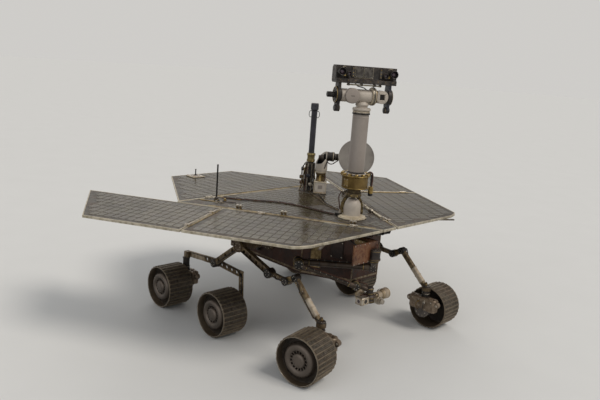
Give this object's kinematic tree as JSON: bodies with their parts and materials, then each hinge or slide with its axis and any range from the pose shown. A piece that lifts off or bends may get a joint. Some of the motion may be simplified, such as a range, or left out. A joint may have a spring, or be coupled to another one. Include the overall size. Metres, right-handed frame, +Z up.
{
  "type": "planetary rover",
  "caption": "Six-wheeled planetary rover with a winged solar deck, a camera mast, a dish antenna, a stowed arm and a rocker suspension.",
  "frame": {"origin": "on the ground, midway along and across the parked rover", "axes": "+X forward, +Y to the rover's left, +Z up"},
  "size_m": [1.7248, 2.3432, 1.442],
  "materials": {
    "foil": "satin",
    "cells": "satin",
    "white_paint": "satin",
    "bare_metal": "satin",
    "grey_metal": "satin",
    "gold_metal": "satin",
    "dark_metal": "satin",
    "wheel_metal": "satin"
  },
  "bodies": {
    "chassis": {"body_box": "foil", "belly_plate": "bare_metal", "equipment_deck": "cells", "rocker_shafts": "bare_metal", "rocker_right": "grey_metal", "rocker_left": "grey_metal", "bogie_right": "grey_metal", "bogie_left": "grey_metal", "mast_base": "white_paint", "dish_pedestal": "white_paint", "low_gain_antenna": "dark_metal", "whip_antenna": "dark_metal", "hazard_cameras_front": "dark_metal", "hazard_cameras_rear": "dark_metal", "arm_mount": "gold_metal"},
    "panel_right": {"panel_primary_right": "cells"},
    "panel_left": {"panel_primary_left": "cells"},
    "wing_right": {"panel_wing_right": "cells"},
    "wing_left": {"panel_wing_left": "cells"},
    "rear_panel": {"panel_rear": "cells", "calibration_target": "white_paint"},
    "mast_post": {"mast_canister": "gold_metal"},
    "mast": {"mast_tube": "white_paint", "head_yoke": "white_paint"},
    "camera_head": {"camera_bar": "dark_metal", "camera_lenses": "bare_metal"},
    "dish_turntable": {"dish_gimbal": "bare_metal"},
    "dish": {"dish": "grey_metal"},
    "arm_shoulder": {"arm_shoulder": "dark_metal"},
    "arm_upper": {"arm_upper": "dark_metal"},
    "arm_fore": {"arm_fore": "dark_metal"},
    "arm_wrist": {"arm_wrist": "bare_metal"},
    "arm_turret": {"arm_turret": "gold_metal"},
    "wheel_front_right": {"wheel_front_right": "wheel_metal"},
    "knuckle_front_right": {"knuckle_front_right": "bare_metal"},
    "wheel_front_left": {"wheel_front_left": "wheel_metal"},
    "knuckle_front_left": {"knuckle_front_left": "bare_metal"},
    "wheel_middle_right": {"wheel_middle_right": "wheel_metal"},
    "wheel_middle_left": {"wheel_middle_left": "wheel_metal"},
    "wheel_rear_right": {"wheel_rear_right": "wheel_metal"},
    "knuckle_rear_right": {"knuckle_rear_right": "bare_metal"},
    "wheel_rear_left": {"wheel_rear_left": "wheel_metal"},
    "knuckle_rear_left": {"knuckle_rear_left": "bare_metal"}
  },
  "joints": [
    {"name": "panel_right_fold", "type": "hinge", "parent": "chassis", "child": "panel_right", "pos_m": [0.38616, -0.255, 0.662], "axis": [-0.866, -0.5, 0], "range_deg": [0, 90]},
    {"name": "panel_left_fold", "type": "hinge", "parent": "chassis", "child": "panel_left", "pos_m": [0.38616, 0.255, 0.662], "axis": [0.866, -0.5, 0], "range_deg": [0, 45]},
    {"name": "wing_right_fold", "type": "hinge", "parent": "panel_right", "child": "wing_right", "pos_m": [0.11452, -0.70051, 0.662], "axis": [-0.5, 0.866, 0], "range_deg": [0, 175]},
    {"name": "wing_left_fold", "type": "hinge", "parent": "panel_left", "child": "wing_left", "pos_m": [0.11452, 0.70051, 0.662], "axis": [-0.5, -0.866, 0], "range_deg": [-100, 0]},
    {"name": "rear_panel_fold", "type": "hinge", "parent": "chassis", "child": "rear_panel", "pos_m": [-0.24604, 0, 0.662], "axis": [0, -1, 0], "range_deg": [-90, 0]},
    {"name": "mast_fold", "type": "hinge", "parent": "chassis", "child": "mast_post", "pos_m": [0.42757, 0, 0.793], "axis": [0, -1, 0], "range_deg": [0, 90]},
    {"name": "mast_turn", "type": "hinge", "parent": "mast_post", "child": "mast", "pos_m": [0.47357, 0, 1], "axis": [0, 0, 1], "range_deg": [-155, 205]},
    {"name": "camera_tilt", "type": "hinge", "parent": "mast", "child": "camera_head", "pos_m": [0.47357, 0, 1.295], "axis": [0.4848, 0.8746, 0], "range_deg": [-90, 90]},
    {"name": "dish_turn", "type": "hinge", "parent": "chassis", "child": "dish_turntable", "pos_m": [-0.05244, 0.3, 0.889], "axis": [0, 0, 1], "range_deg": [-150, 95]},
    {"name": "dish_tilt", "type": "hinge", "parent": "dish_turntable", "child": "dish", "pos_m": [-0.05244, 0.3, 0.889], "axis": [-0.7193, -0.6947, 0], "range_deg": [-30, 74]},
    {"name": "arm_shoulder_turn", "type": "hinge", "parent": "chassis", "child": "arm_shoulder", "pos_m": [0.69757, -0.07, 0.458], "axis": [0, 0, 1], "range_deg": [-10, 160]},
    {"name": "arm_shoulder_lift", "type": "hinge", "parent": "arm_shoulder", "child": "arm_upper", "pos_m": [0.69757, -0.07, 0.458], "axis": [-0.7509, 0.6604, 0], "range_deg": [-20, 10]},
    {"name": "arm_elbow", "type": "hinge", "parent": "arm_upper", "child": "arm_fore", "pos_m": [0.44957, -0.352, 0.466], "axis": [-0.7509, 0.6604, 0], "range_deg": [-5, 75]},
    {"name": "arm_wrist", "type": "hinge", "parent": "arm_fore", "child": "arm_wrist", "pos_m": [0.64457, -0.13, 0.366], "axis": [-0.7509, 0.6604, 0], "range_deg": [-20, 45]},
    {"name": "arm_turret_turn", "type": "hinge", "parent": "arm_wrist", "child": "arm_turret", "pos_m": [0.69157, -0.062, 0.323], "axis": [0, 0, 1], "range_deg": [-170, 170]},
    {"name": "steer_front_right", "type": "hinge", "parent": "chassis", "child": "knuckle_front_right", "pos_m": [0.70957, -0.432, 0.23], "axis": [0, 0, 1], "range_deg": [-55.5, 34.5]},
    {"name": "roll_front_right", "type": "hinge", "parent": "knuckle_front_right", "child": "wheel_front_right", "pos_m": [0.72925, -0.53819, 0.121], "axis": [-0.1822, 0.9833, 0], "continuous": true},
    {"name": "steer_front_left", "type": "hinge", "parent": "chassis", "child": "knuckle_front_left", "pos_m": [0.70957, 0.432, 0.23], "axis": [0, 0, 1], "range_deg": [-47, 43]},
    {"name": "roll_front_left", "type": "hinge", "parent": "knuckle_front_left", "child": "wheel_front_left", "pos_m": [0.7058, 0.53993, 0.121], "axis": [-0.0349, 0.9994, 0], "continuous": true},
    {"name": "roll_middle_right", "type": "hinge", "parent": "chassis", "child": "wheel_middle_right", "pos_m": [0.09757, -0.54, 0.121], "axis": [0, 1, 0], "continuous": true},
    {"name": "roll_middle_left", "type": "hinge", "parent": "chassis", "child": "wheel_middle_left", "pos_m": [0.09757, 0.54, 0.121], "axis": [0, 1, 0], "continuous": true},
    {"name": "steer_rear_right", "type": "hinge", "parent": "chassis", "child": "knuckle_rear_right", "pos_m": [-0.39743, -0.432, 0.23], "axis": [0, 0, 1], "range_deg": [-45, 45]},
    {"name": "roll_rear_right", "type": "hinge", "parent": "knuckle_rear_right", "child": "wheel_rear_right", "pos_m": [-0.39743, -0.54, 0.121], "axis": [0, 1, 0], "continuous": true},
    {"name": "steer_rear_left", "type": "hinge", "parent": "chassis", "child": "knuckle_rear_left", "pos_m": [-0.39743, 0.432, 0.23], "axis": [0, 0, 1], "range_deg": [-45, 45]},
    {"name": "roll_rear_left", "type": "hinge", "parent": "knuckle_rear_left", "child": "wheel_rear_left", "pos_m": [-0.39743, 0.54, 0.121], "axis": [0, 1, 0], "continuous": true}
  ]
}
